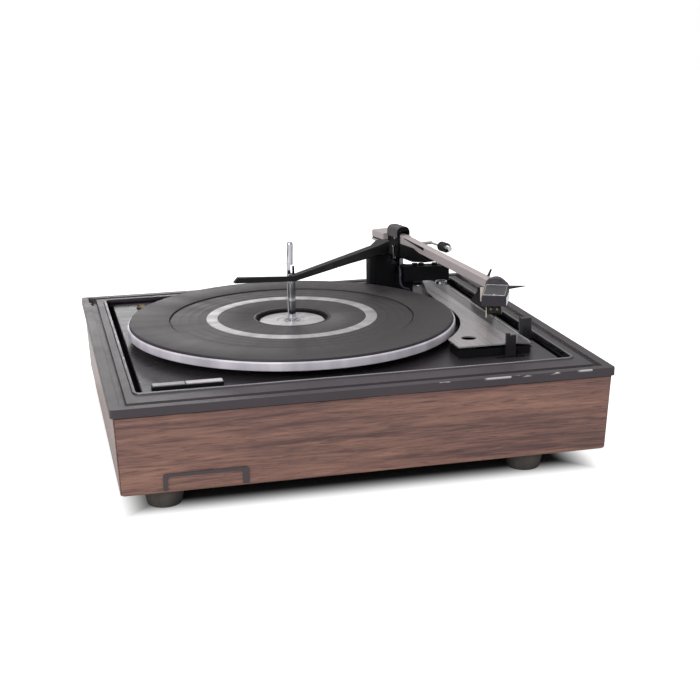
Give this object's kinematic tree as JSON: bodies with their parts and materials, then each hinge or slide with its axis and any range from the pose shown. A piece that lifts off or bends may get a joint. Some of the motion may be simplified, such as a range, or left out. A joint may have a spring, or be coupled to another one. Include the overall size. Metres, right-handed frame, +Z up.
{
  "type": "record changer",
  "caption": "Automatic record changer with overarm, stepped spindle and square tonearm on a walnut plinth with a moulded top frame.",
  "frame": {"origin": "on the table under the middle of the plinth", "axes": "+X to the right seen from the front, +Y to the back, +Z up"},
  "size_m": [0.384, 0.36, 0.161],
  "materials": {
    "walnut": "satin veneer",
    "fibre_board": "raw board",
    "foot_rubber": "matt",
    "frame_plastic": "semi-gloss",
    "black_plastic": "satin",
    "painted_plate": "satin",
    "bright_metal": "polished",
    "brushed_aluminium": "brushed",
    "mat_rubber": "matt",
    "steel": "plain",
    "ivory_plastic": "satin",
    "arm_grey": "satin grey",
    "coil_varnish": "varnished winding"
  },
  "bodies": {
    "base": {"arm_base": "black_plastic", "arm_rest": "black_plastic", "arm_rest_liner": "ivory_plastic", "back_panel": "walnut", "badge_bar": "bright_metal", "bearing_tube": "steel", "bottom_board": "fibre_board", "control_housing": "black_plastic", "control_plate": "brushed_aluminium", "corner_block_back_left": "fibre_board", "corner_block_back_right": "fibre_board", "corner_block_front_left": "fibre_board", "corner_block_front_right": "fibre_board", "foot_back_left": "foot_rubber", "foot_back_right": "foot_rubber", "foot_front_left": "foot_rubber", "foot_front_right": "foot_rubber", "front_inlay": "black_plastic", "front_panel": "walnut", "idler_arm": "steel", "left_panel": "walnut", "motor_board": "fibre_board", "motor_bracket": "steel", "motor_coil": "coil_varnish", "motor_stator": "steel", "opening_bead": "bright_metal", "rear_grommet": "foot_rubber", "right_panel": "walnut", "spindle": "bright_metal", "suspension_spring_back_left": "steel", "suspension_spring_back_right": "steel", "suspension_spring_front_left": "steel", "suspension_spring_front_right": "steel", "thrust_washer": "bright_metal", "top_frame": "frame_plastic", "transit_screw_left": "bright_metal", "transit_screw_right": "bright_metal", "unit_plate": "painted_plate"},
    "platter_body": {"platter": "brushed_aluminium", "platter_mat": "mat_rubber", "trim_ring": "bright_metal", "centre_disc": "brushed_aluminium"},
    "idler": {"idler_wheel": "mat_rubber"},
    "rotor": {"motor_rotor": "steel"},
    "cycle_gear": {"cam_gear": "black_plastic"},
    "arm_swing": {"arm_yoke": "arm_grey", "feeler_rod": "bright_metal"},
    "arm": {"tonearm_beam": "arm_grey", "counterweight": "arm_grey", "arm_saddle": "black_plastic", "headshell": "arm_grey", "cartridge": "black_plastic", "cartridge_clip": "bright_metal"},
    "knob": {"force_knob": "black_plastic"},
    "overarm_slide": {"overarm_post": "steel"},
    "overarm_arm": {"overarm": "black_plastic"},
    "front_control": {"front_lever": "black_plastic"},
    "right_control": {"right_lever": "black_plastic"},
    "cue": {"cue_pin": "ivory_plastic"},
    "pusher": {"spindle_pusher": "steel"}
  },
  "joints": [
    {"name": "platter_spin", "type": "hinge", "parent": "base", "child": "platter_body", "pos_m": [-0.0231, 0.004, 0.09], "axis": [0, 0, -1], "continuous": true},
    {"name": "idler_spin", "type": "hinge", "parent": "base", "child": "idler", "pos_m": [-0.12633, 0.0636, 0.088], "axis": [0, 0, -1], "continuous": true},
    {"name": "rotor_spin", "type": "hinge", "parent": "base", "child": "rotor", "pos_m": [-0.11624, 0.04462, 0.05], "axis": [0, 0, -1], "continuous": true},
    {"name": "cam_turn", "type": "hinge", "parent": "base", "child": "cycle_gear", "pos_m": [0.01591, 0.03447, 0.085], "axis": [0, 0, 1], "range_deg": [-12, 12]},
    {"name": "tonearm_swing", "type": "hinge", "parent": "base", "child": "arm_swing", "pos_m": [0.112, 0.136, 0.133], "axis": [0, 0, -1], "range_deg": [0, 36]},
    {"name": "tonearm_lift", "type": "hinge", "parent": "arm_swing", "child": "arm", "pos_m": [0.112, 0.136, 0.133], "axis": [-0.9785, -0.2062, 0], "range_deg": [0, 8]},
    {"name": "knob_turn", "type": "hinge", "parent": "arm", "child": "knob", "pos_m": [0.14037, 0.0964, 0.1301], "axis": [0.2062, -0.9785, 0], "range_deg": [-180, 180]},
    {"name": "overarm_lift", "type": "slide", "parent": "base", "child": "overarm_slide", "axis": [0, 0, 1], "range_m": [0, 0.012]},
    {"name": "overarm_swing", "type": "hinge", "parent": "overarm_slide", "child": "overarm_arm", "pos_m": [0.0895, 0.1191, 0.126], "axis": [0, 0, 1], "range_deg": [0, 8]},
    {"name": "front_lever_swing", "type": "hinge", "parent": "base", "child": "front_control", "pos_m": [0.12975, -0.084, 0.078], "axis": [0, 0, 1], "range_deg": [-8, 8]},
    {"name": "right_lever_slide", "type": "slide", "parent": "base", "child": "right_control", "axis": [0, 1, 0], "range_m": [-0.01, 0.01]},
    {"name": "cue_lift", "type": "slide", "parent": "base", "child": "cue", "axis": [0, 0, 1], "range_m": [0, 0.0015]},
    {"name": "pusher_slide", "type": "slide", "parent": "base", "child": "pusher", "axis": [-1, 0, 0], "range_m": [0, 0.0009]}
  ],
  "couplings": [
    {"joint": "idler_spin", "follows": "platter_spin", "ratio": 8.0529},
    {"joint": "rotor_spin", "follows": "platter_spin", "ratio": -32.595},
    {"joint": "cue_lift", "follows": "tonearm_lift", "m_per_rad": 0.01}
  ]
}
